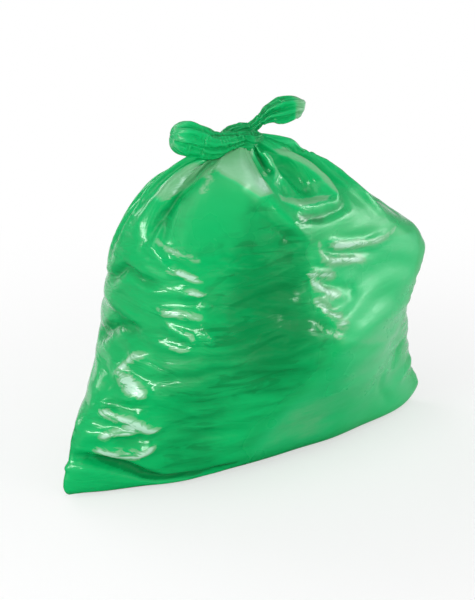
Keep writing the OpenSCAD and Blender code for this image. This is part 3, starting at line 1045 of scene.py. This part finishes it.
def ridge_lines(grid):
    """How sharply a grid bends outwards at each point, 0 to 1."""
    around = (np.roll(grid, 1, 1) + np.roll(grid, -1, 1)) / 2.0 - grid
    up = np.zeros_like(grid)
    up[1:-1] = (grid[2:] + grid[:-2]) / 2.0 - grid[1:-1]
    step = np.linalg.norm(np.gradient(grid, axis=0), axis=-1) + 1e-6
    bend = -((around + up) * outward(grid)).sum(-1) / step
    return np.clip(bend * 1.6, 0.0, 1.0)


def film_piece(name, grid, air_and_painted_light, crown, run, material, taut=0.0, painted_glint=0.0):
    """A piece of film from its grid, with what its material reads stored on its points."""
    rows, around = grid.shape[:2]
    angle = 2.0 * np.pi * np.arange(around) / around
    threads = np.zeros((rows, around, 3))
    threads[..., 0] = np.cos(angle)
    threads[..., 1] = np.sin(angle)
    threads[..., 2] = np.linspace(0.0, run, rows)[:, None]
    mesh = grid_mesh(name, grid)
    # the last row always has a cap with a point of its own, and the first row may have one
    capped = [0, -1] if len(mesh.vertices) == rows * around + 2 else [-1]

    def with_caps(values):
        flat = values.reshape(rows * around, *values.shape[2:])
        caps = [values[row].mean(axis=0)[None] for row in capped]
        return np.concatenate([flat, *caps])

    put_attributes(mesh, {
        "taut": with_caps(taut + np.zeros((rows, around))),
        "painted_glint": with_caps(painted_glint + np.zeros((rows, around))),
        "threads": with_caps(threads),
        "air_and_painted_light": with_caps(air_and_painted_light),
        "crown": with_caps(crown),
        "ridge": with_caps(ridge_lines(grid)),
    })
    piece = linked(name, merged(mesh))
    piece.data.materials.append(material)
    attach(piece, BODY)
    return piece


# Where the front is painted darkest, as painted shade with dark refuse behind the film: its angle and
# half width in degrees, its height and half height
DARK_ANGLE = -108.0
DARK_WIDTH = 30.0
DARK_Z = 0.27
DARK_HEIGHT = 0.12
# How taut the veil's film is, and the width in metres over which that fades
VEIL_TAUT = 0.85
VEIL_FADE = 0.05
# How far the pattern of the bump runs up the body's film and along a strand
FILM_RUN = 3.0
STRAND_RUN = 2.0


def film_air_and_painted_light(grid, base, crown):
    """How pale the film is painted: below nought deep, as where it lies on dark refuse and where
    shade is painted, at 1 pale, as where it stands off and where light is painted.

    There is a little everywhere, some more in the crown as painted light on its top and on the
    right as a painted sheen, far less over the middle of the front as painted shade and dark
    refuse, paler as the film stands further off and deeper in its hollows, and what the patches
    add or take, painted highlights, sheens and shadows among them.
    """
    z = base[..., 2]
    theta = np.degrees(np.arctan2(base[..., 1], base[..., 0]))
    off = ((grid - base) * outward(base)).sum(-1)
    turned = np.abs(theta - DARK_ANGLE)
    # painted shade over the middle of the front, with dark refuse behind the film there too
    dark = hump(np.minimum(turned, 360.0 - turned), 0.0, DARK_WIDTH) * hump(z, DARK_Z, DARK_HEIGHT)
    # a painted sheen down the right side
    right = smoothstep(-85.0, -40.0, theta) * (1.0 - smoothstep(60.0, 110.0, theta))
    # a little everywhere, painted light on the crown, the painted sheen on the right, the painted shade
    # in the middle, paler where the film stands out and deeper in its hollows
    air_and_painted_light = 0.12 + 0.14 * crown + 0.26 * right * smoothstep(0.02, 0.15, z) - 0.85 * dark + 32.0 * off
    for amount, fade, outline in AIR_AND_PAINTED_LIGHT_PATCHES:
        air_and_painted_light += amount * patch_cover(base, outline, fade / 1000.0)
    return air_and_painted_light


class SACK_OT_film(bpy.types.Operator):
    """Lays the film over the solid and lets it settle into its folds"""

    bl_idname = "sack.film"
    bl_label = "Film"

    def execute(self, context):
        grid, base = film_shape()
        crown = crown_share(base)
        air_and_painted_light = film_air_and_painted_light(grid, base, crown)
        material = film_material("film_body", context.scene.sack_sizes, 1.0)
        taut = np.maximum(panel_share(base), VEIL_TAUT * patch_cover(base, VEIL_OUTLINE, VEIL_FADE))
        # where the painted glints lie, along their ridges
        painted_glint = np.maximum(fold_relief(base, placed(PAINTED_GLINT_RIDGES)) * 1000.0, 0.0)
        piece = film_piece("sack_film", grid, air_and_painted_light, crown, FILM_RUN, material, taut, painted_glint)
        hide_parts(NODE)
        return {"FINISHED"}


# Knot and ears

# A strand's grid: rows along it, points round it, pleats, and waves that make them uneven
STRAND_ROWS = 161
STRAND_AROUND = 96
STRAND_PLEATS = 6
STRAND_WAVES = 5
# Its slack round and along it, as shares of its length
STRAND_ROUND = 0.22
STRAND_ALONG = 0.08
# Height of its first crumple, and how far settled film may stand in or out, in metres
STRAND_CRUMPLE = 0.0010
STRAND_IN = -0.0050
STRAND_OUT = 0.0030
# Its rounds of settling: grid step, passes, stiffness and drift
STRAND_PLAN = ((2, 60, 0.08, 0.01), (1, 40, 0.12, 0.01))
# Radius of the strand's turn round the neck, of the strand there, and of an ear's very tip
TURN_R = 0.021
STRAND_R = 0.012
TIP_R = 0.002
# Its turn: how much further it reaches along x, the degrees from row to row, and their drop
TURN_STRETCH = 0.003
TURN_STEP = 42.0
TURN_DROP = 0.003
# Where each strand ends inside the neck, and its radius there
END_Z = KNOT_Z - 0.030
END_R = 0.008


def along(rows, s):
    """A smooth curve through rows of numbers, at s rows from the first."""
    rows = np.asarray(rows, float)
    top = len(rows) - 1
    i = np.clip(np.floor(s).astype(int), 0, top - 1)
    f = (s - i)[:, None]
    p, q = rows[i], rows[i + 1]
    m = np.where((i == 0)[:, None], q - p, (q - rows[np.maximum(i - 1, 0)]) / 2)
    n = np.where((i == top - 1)[:, None], q - p, (rows[np.minimum(i + 2, top)] - p) / 2)
    return (
        (2 * f**3 - 3 * f**2 + 1) * p + (f**3 - 2 * f**2 + f) * m
        + (3 * f**2 - 2 * f**3) * q + (f**3 - f**2) * n
    )


def sweep(rows, count, around, level):
    """A strand as a grid. rows hold x, y, z, half width, half thickness and pleat depth."""
    fine = along(rows, np.linspace(0, len(rows) - 1, 400))
    length = np.concatenate([[0.0], np.cumsum(np.linalg.norm(np.diff(fine[:, :3], axis=0), axis=1))])
    at = np.linspace(0, length[-1], count)
    path = np.stack([np.interp(at, length, fine[:, k]) for k in range(6)], axis=1)
    ahead = unit_rows(np.gradient(path[:, :3], axis=0))
    wide = np.zeros((count, 3))
    wide[0] = np.cross(ahead[0], level)
    wide[0] /= np.linalg.norm(wide[0])
    for k in range(1, count):
        w = wide[k - 1] - ahead[k] * (wide[k - 1] @ ahead[k])
        wide[k] = w / np.linalg.norm(w)
    thick = np.cross(ahead, wide)
    angle = 2 * np.pi * np.arange(around) / around
    grid = path[:, None, :3] + (
        wide[:, None] * path[:, 3, None, None] * np.cos(angle)[None, :, None]
        + thick[:, None] * path[:, 4, None, None] * np.sin(angle)[None, :, None]
    )
    return grid, path


def strand_shape(rows, seed):
    """A strand of bunched film: a sweep with lengthwise pleats, settled as the body is."""
    count, around = STRAND_ROWS, STRAND_AROUND
    grid, path = sweep(rows, count, around, (0.1, 1.0, 0.25))
    rng = np.random.default_rng(seed)
    centre = grid.mean(axis=1, keepdims=True)
    spoke = grid - centre
    angle = 2 * np.pi * np.arange(around) / around
    t = np.linspace(0, 1, count)[:, None]
    fold = np.zeros((count, around))
    for _ in range(STRAND_WAVES):
        turns = STRAND_PLEATS + rng.integers(-2, 5)
        phase = rng.uniform(0, 6.3) + rng.uniform(-2.5, 2.5) * t
        phase = phase + 0.7 * np.sin(3.0 * t * rng.uniform(1, 3))
        fold += (np.abs(np.sin(turns * angle / 2.0 + phase)) - 0.65) * rng.uniform(0.4, 1.0)
    grid = centre + spoke * (1.0 + path[:, 5, None, None] * fold[..., None] / 2.2)
    if (np.cross(np.roll(grid, -1, 1) - grid, np.gradient(grid, axis=0)) * spoke).sum() < 0:
        grid = grid[:, ::-1].copy()
    base = grid.copy()
    fine_noise = value_noise(rng, count, around, 5, 18)
    points = base + outward(base) * (STRAND_CRUMPLE * fine_noise)[..., None]
    ends = smoothstep(0.0, 0.08, t) * (1.0 - smoothstep(0.94, 1.0, t))
    slack_u = np.broadcast_to(1.0 + STRAND_ROUND * ends, (count, around))
    slack_v = np.broadcast_to(1.0 + STRAND_ALONG * ends, (count, around))
    pinned = np.zeros((count, around))
    pinned[:1] = 1.0
    pinned[-1:] = 1.0
    level = points[::2, ::2]
    for step, passes, stiff, drift in STRAND_PLAN:
        cut = (slice(None, None, step), slice(None, None, step))
        size = base[cut].shape[:2]
        level = settle(
            level, base[cut], slack_u[cut], slack_v[cut], np.full(size, STRAND_IN),
            np.full(size, STRAND_OUT), pinned[cut], passes, stiff, seed + step, drift,
        )
        if step > 1:
            level = finer(level)
    return level


def turn_rows(start):
    """A strand's half turn round the neck, from where its ear arrives and down into the neck."""
    rows = []
    for k in range(6):
        angle = math.radians(start + TURN_STEP * k)
        r = STRAND_R * (0.95 if k < 5 else 0.8)
        x, y = (TURN_R + TURN_STRETCH) * math.cos(angle), TURN_R * math.sin(angle)
        rows.append([x, y, KNOT_Z - TURN_DROP * k, r, r, 0.10])
    return rows


# The two ears, with lengths in metres. The rows of shares run from the tip in: x and y as
# shares of the reach, z of the rise above the knot, half width and half thickness of the
# ear's own, and then the depth of the pleats. Turn is the angle in degrees at which the strand
# meets the neck, end_y where it ends inside, and the last entry how pale the tip is painted, a
# painted glow of light shining through the thin film.
EARS = (
    {
        # a fat lobe that hangs over the crown and ends in a rounded bunch
        "name": "left_ear", "rise": 0.034, "half_width": 0.0245, "half_thickness": 0.019,
        "shares": (
            (-1.03, 0.15, 0.54, 0, 0, 0.0),
            (-1.01, 0.145, 0.55, 0.42, 0.45, 0.08),
            (-0.96, 0.13, 0.48, 0.80, 0.84, 0.26),
            (-0.84, 0.09, 0.31, 1.04, 1.00, 0.34),
            (-0.64, 0.02, 0.04, 0.96, 1.00, 0.36),
            (-0.44, -0.08, -0.12, 0.74, 0.90, 0.30),
        ),
        "turn": -120.0, "end_y": 0.004, "seed": 3, "air_and_painted_light": 0.8,
    },
    {
        # narrow where it leaves the knot, then a fan of folds that stands up
        "name": "right_ear", "rise": 0.027, "half_width": 0.0215, "half_thickness": 0.015,
        "shares": (
            (1.01, -0.03, 0.80, 0, 0, 0.0),
            (1.00, -0.03, 0.84, 0.60, 0.6, 0.16),
            (0.88, 0.0, 0.98, 0.84, 1.0, 0.30),
            (0.69, 0.035, 0.90, 0.92, 1.1, 0.34),
            (0.54, 0.07, 0.78, 0.66, 0.85, 0.30),
            (0.40, 0.09, 0.50, 0.42, 0.60, 0.22),
            (0.26, 0.13, 0.10, 0.42, 0.60, 0.20),
        ),
        "turn": 60.0, "end_y": -0.004, "seed": 8, "air_and_painted_light": 1.8,
    },
)


def strand_rows(ear, reach):
    """Rows of a strand from its ear's tip, round the neck and into it. The reach is in metres."""
    rows = []
    for x, y, z, wide, thick, pleat in ear["shares"]:
        width, thickness = ear["half_width"] * wide, ear["half_thickness"] * thick
        rows.append([reach * x, reach * y, KNOT_Z + ear["rise"] * z, width, thickness, pleat])
    rows[0][3:5] = TIP_R, TIP_R
    return [*rows, *turn_rows(ear["turn"]), [0.0, ear["end_y"], END_Z, END_R, END_R, 0.0]]


def strand_air_and_painted_light(grid, tip_air_and_painted_light):
    """How pale a strand's film is painted: deep in the knot, paler outwards, with a painted glow of light
    through the tip and painted highlights on ridges.
    """
    out = np.linalg.norm(grid.mean(axis=1)[:, :2], axis=1)
    far = smoothstep(0.03, 0.12, out)[:, None] * np.ones((1, grid.shape[1]))
    tip = smoothstep(0.090, 0.116, out)[:, None]
    # painted light: a glow through the thin tip, and highlights on ridges
    return -0.20 + 0.35 * far + tip_air_and_painted_light * tip + 0.9 * ridge_lines(grid)


class SACK_OT_knot(bpy.types.Operator):
    """Sweeps the two strands of the half knot and their ears"""

    bl_idname = "sack.knot"
    bl_label = "Knot and ears"

    def execute(self, context):
        sizes = context.scene.sack_sizes
        material = film_material("film_knot", sizes, 1.0, KNOT_GLOSS)
        for ear in EARS:
            grid = strand_shape(strand_rows(ear, sizes.ear_reach), ear["seed"])
            air_and_painted_light = strand_air_and_painted_light(grid, ear["air_and_painted_light"])
            piece = film_piece(ear["name"], grid, air_and_painted_light, np.ones_like(air_and_painted_light), STRAND_RUN, material)
        return {"FINISHED"}


# Base seal

# Points along the seal's band
BAND_POINTS = 60


def seal_tree():
    """Welds in a row along x, on a flat band: the sealed hem under the sack."""
    tree = bpy.data.node_groups.new("base_seal", "GeometryNodeTree")
    face = tree.interface
    face.new_socket("Geometry", in_out="OUTPUT", socket_type="NodeSocketGeometry")
    sockets = {}
    for name in ("Start", "Length", "Pitch", "Band width", "Weld height", "Film"):
        kind = "NodeSocketMaterial" if name == "Film" else "NodeSocketFloat"
        sockets[name] = face.new_socket(name, in_out="INPUT", socket_type=kind).identifier

    n = Nodes(tree)
    given = n.add("NodeGroupInput").outputs
    start, length, pitch = given["Start"], given["Length"], given["Pitch"]
    band, height = given["Band width"], given["Weld height"]

    def times(value, share):
        return n.maths("MULTIPLY", value, share)

    def triple(x, y=0.0, z=0.0):
        return n.add("ShaderNodeCombineXYZ", {0: x, 1: y, 2: z}).outputs[0]

    # the row of welds
    count = n.maths("FLOOR", n.maths("DIVIDE", length, pitch))
    first = triple(n.maths("ADD", start, times(pitch, 0.5)), z=times(height, 0.5))
    row = n.add(
        "GeometryNodeMeshLine", {"Count": count, "Start Location": first, "Offset": triple(pitch)},
        mode="OFFSET",
    )
    weld_size = triple(times(pitch, 0.45), times(band, 0.5), height)
    weld = n.add("GeometryNodeMeshCube", {"Size": weld_size})
    welds = n.add(
        "GeometryNodeInstanceOnPoints", {"Points": row.outputs[0], "Instance": weld.outputs[0]}
    )

    # the band that they stand on
    band_size = triple(length, band, times(height, 0.5))
    strip = n.add("GeometryNodeMeshCube", {"Size": band_size, "Vertices X": BAND_POINTS})
    middle = triple(n.maths("ADD", start, times(length, 0.5)), z=times(height, 0.75))
    laid = n.add("GeometryNodeTransform", {"Geometry": strip.outputs[0], "Translation": middle})
    joined = n.add("GeometryNodeJoinGeometry")
    tree.links.new(laid.outputs[0], joined.inputs[0])
    tree.links.new(welds.outputs[0], joined.inputs[0])
    real = n.add("GeometryNodeRealizeInstances", {0: joined.outputs[0]})
    done = n.add("GeometryNodeSetMaterial", {"Geometry": real.outputs[0], "Material": given["Film"]})
    n.add("NodeGroupOutput", {0: done.outputs[0]})
    return tree, sockets


class SACK_OT_seal(bpy.types.Operator):
    """Lays the sealed hem of the base under the sack, with its row of welds"""

    bl_idname = "sack.seal"
    bl_label = "Base seal"

    def execute(self, context):
        sizes = context.scene.sack_sizes
        foot = ring_at(solid_tree(), HEEL_Z)
        left, right = foot[:, 0].min() + sizes.seal_inset, foot[:, 0].max() - sizes.seal_inset
        tree, sockets = seal_tree()
        holder = linked("base_seal_line", bpy.data.meshes.new("base_seal_line"))
        modifier = holder.modifiers.new("Welds", "NODES")
        modifier.node_group = tree
        values = {
            "Start": float(left), "Length": float(right - left), "Pitch": sizes.weld_pitch,
            "Band width": sizes.seal_width, "Weld height": sizes.weld_height,
            "Film": film_material("film_seal", sizes, 0.3),
        }
        for name, value in values.items():
            modifier[sockets[name]] = value
        evaluated = holder.evaluated_get(context.evaluated_depsgraph_get())
        mesh = bpy.data.meshes.new_from_object(evaluated)
        mesh.name = "base_seal"
        bpy.data.objects.remove(holder)
        piece = linked("base_seal", mesh)
        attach(piece, BODY)
        return {"FINISHED"}


# Stage


def grey(level):
    """A grey as a colour."""
    return (level, level, level, 1)


def floor_material():
    """A pale floor: white to the camera, with the sack's shadow on it."""
    material = bpy.data.materials.new("floor")
    n = shader_nodes(material)
    rays = n.add("ShaderNodeLightPath")
    place = n.add("ShaderNodeTexCoord").outputs["Object"]
    away = n.add("ShaderNodeVectorMath", {0: place}, operation="LENGTH").outputs["Value"]
    seen = n.maths("MULTIPLY", rays.outputs["Is Camera Ray"], n.between(away, 0.4, 1.2, 0.62, 1.0))
    split = n.add("ShaderNodeSeparateXYZ", {0: place})
    # the film mirrors a white floor at both sides, and a dim one in front of the sack
    slant = n.maths("ADD", split.outputs[0], n.maths("MULTIPLY", split.outputs[1], 0.84))
    open_right = n.between(slant, -0.02, 0.30)
    open_left = n.between(split.outputs[0], -0.62, -0.38, 0.45, 0.0)
    mirrored = n.mixed(n.maths("MAXIMUM", open_right, open_left), grey(0.06), grey(0.92))
    lit = n.mixed(rays.outputs["Is Glossy Ray"], grey(0.72), mirrored)
    shade = n.mixed(rays.outputs["Is Camera Ray"], lit, grey(0.92))
    matt = n.add("ShaderNodeBsdfDiffuse", {"Color": shade})
    white = n.add("ShaderNodeEmission", {"Color": (1, 1, 1, 1), "Strength": 1.0})
    both = n.add("ShaderNodeMixShader", {0: seen, 1: matt.outputs[0], 2: white.outputs[0]})
    n.add("ShaderNodeOutputMaterial", {"Surface": both.outputs[0]})
    return material


def room_world():
    """White round the sack, and dimmer where the open room is, on the camera's side."""
    world = bpy.data.worlds.new("room")
    n = shader_nodes(world)
    way = n.add("ShaderNodeTexCoord").outputs["Generated"]
    split = n.add("ShaderNodeSeparateXYZ", {0: way})
    front = n.add("ShaderNodeVectorMath", {0: way, 1: (-0.17, -0.985, 0.0)}, operation="DOT_PRODUCT")
    dim = n.between(front.outputs["Value"], 0.45, 0.70)
    top = n.between(split.outputs[2], 0.45, 0.8)
    level = n.maths("SUBTRACT", 1.0, n.maths("MULTIPLY", dim, n.without(top)), clamp=True)
    rays = n.add("ShaderNodeLightPath")
    glossy = n.maths("ADD", n.maths("MULTIPLY", level, 0.38), 0.01)
    strength = n.add("ShaderNodeMix", {0: rays.outputs["Is Glossy Ray"], 2: 0.52, 3: glossy})
    shown = n.add("ShaderNodeMix", {0: rays.outputs["Is Camera Ray"], 2: strength.outputs[0], 3: 1.0})
    sky = n.add("ShaderNodeBackground", {"Color": (1, 1, 1, 1), "Strength": shown.outputs[0]})
    n.add("ShaderNodeOutputWorld", {"Surface": sky.outputs[0]})
    return world


# Half the floor's side, in metres
FLOOR_HALF = 40.0
# Lamps: name, place, what it points at, width and height in metres, power in watts, whether
# the film mirrors the lamp, and whether it lights the film's own colour
LAMPS = (
    ("left_softbox", (-2.6, -0.85, 1.2), (0, 0, 0.25), (1.2, 2.0), 36, False, True),
    ("left_window", (-2.60, -1.48, 1.75), (0, 0, 0.25), (2.3, 0.5), 95, True, False),
    ("left_glow", (-2.45, -1.30, 0.75), (0, 0, 0.25), (1.8, 1.4), 8, True, False),
    ("right_softbox", (2.75, -0.6, 1.1), (0, 0, 0.3), (2.0, 2.2), 9, False, True),
    ("right_window", (2.62, -1.28, 1.15), (0, 0, 0.3), (1.6, 0.30), 25, True, False),
    ("right_glow", (2.55, -1.35, 0.55), (0, 0, 0.3), (1.9, 1.1), 12, True, False),
    ("back_softbox", (-0.3, 3.0, 1.7), (0, 0, 0.3), (2.6, 0.9), 34, True, True),
    ("top_softbox", (-0.6, -0.6, 3.2), (0, 0, 0.3), (1.8, 1.8), 15, True, True),
    ("front_fill", (0.8, -3.2, 0.3), (0, 0, 0.1), (2.4, 1.2), 56, False, True),
)
# The picture: its size and the place of the sack's middle in pixels, and its scale there
PICTURE_SIZE = (475, 600)
MIDDLE_PIXEL = (240.3, 286.06)
METRES_A_PIXEL = 1.639 / 1000.0
SACK_MIDDLE = (0, 0, 0.29)
SENSOR_WIDTH = 36.0


def add_lamp(scene, name, place, aim, size, power, mirrored, lights):
    """A rectangular lamp, turned towards what it points at."""
    light = bpy.data.lights.new(name, "AREA")
    light.shape = "RECTANGLE"
    light.size, light.size_y = size
    light.energy = power
    lamp = bpy.data.objects.new(name, light)
    scene.collection.objects.link(lamp)
    lamp.location = place
    lamp.rotation_euler = (Vector(aim) - Vector(place)).to_track_quat("-Z", "Y").to_euler()
    lamp.visible_glossy = mirrored
    lamp.visible_diffuse = lights


def add_camera(scene, azimuth, elevation, distance):
    """A camera at the photograph's angle, shifted so that the sack stands in its place."""
    camera = bpy.data.objects.new("camera", bpy.data.cameras.new("camera"))
    scene.collection.objects.link(camera)
    scene.camera = camera
    width, height = PICTURE_SIZE
    back = Vector((
        math.sin(azimuth) * math.cos(elevation),
        -math.cos(azimuth) * math.cos(elevation),
        math.sin(elevation),
    ))
    camera.location = Vector(SACK_MIDDLE) + back * distance
    camera.rotation_mode = "QUATERNION"
    camera.rotation_quaternion = (-back).to_track_quat("-Z", "Y")
    camera.data.sensor_width = SENSOR_WIDTH
    camera.data.lens = SENSOR_WIDTH * distance / (height * METRES_A_PIXEL)
    camera.data.shift_x = (width / 2 - MIDDLE_PIXEL[0]) / height
    camera.data.shift_y = (MIDDLE_PIXEL[1] - height / 2) / height
    camera.data.clip_end = 200.0


class SACK_OT_stage(bpy.types.Operator):
    """Sets the floor, the lamps and the camera"""

    bl_idname = "sack.stage"
    bl_label = "Stage"

    def execute(self, context):
        scene = context.scene
        scene.view_settings.view_transform = "Standard"
        mesh = bpy.data.meshes.new("floor")
        r = FLOOR_HALF
        mesh.from_pydata([(-r, -r, 0), (r, -r, 0), (r, r, 0), (-r, r, 0)], [], [(0, 1, 2, 3)])
        floor = linked("floor", mesh)
        mesh.materials.append(floor_material())
        scene.world = room_world()
        for lamp in LAMPS:
            add_lamp(scene, *lamp)
        sizes = scene.sack_sizes
        add_camera(scene, sizes.view_azimuth, sizes.view_elevation, sizes.view_distance)
        return {"FINISHED"}


class SACK_PT_panel(bpy.types.Panel):
    """Lists the steps that build the sack"""

    bl_label = "Sack"
    bl_idname = "SACK_PT_panel"
    bl_space_type = "VIEW_3D"
    bl_region_type = "UI"
    bl_category = "Sack"

    def draw(self, context):
        for size in SackSizes.__annotations__:
            self.layout.prop(context.scene.sack_sizes, size)
        for step in STEPS:
            self.layout.operator(step.bl_idname)


STEPS = (SACK_OT_stage, SACK_OT_film, SACK_OT_knot, SACK_OT_seal)
CLASSES = (SackSizes, *STEPS, SACK_PT_panel)


def register():
    for item in CLASSES:
        bpy.utils.register_class(item)
    bpy.types.Scene.sack_sizes = bpy.props.PointerProperty(type=SackSizes)


def unregister():
    del bpy.types.Scene.sack_sizes
    for item in reversed(CLASSES):
        bpy.utils.unregister_class(item)


def main():
    """Builds the sack and its stage."""
    register()
    bpy.ops.sack.stage()
    bpy.ops.sack.film()
    bpy.ops.sack.knot()
    bpy.ops.sack.seal()


if __name__ == "__main__":
    main()
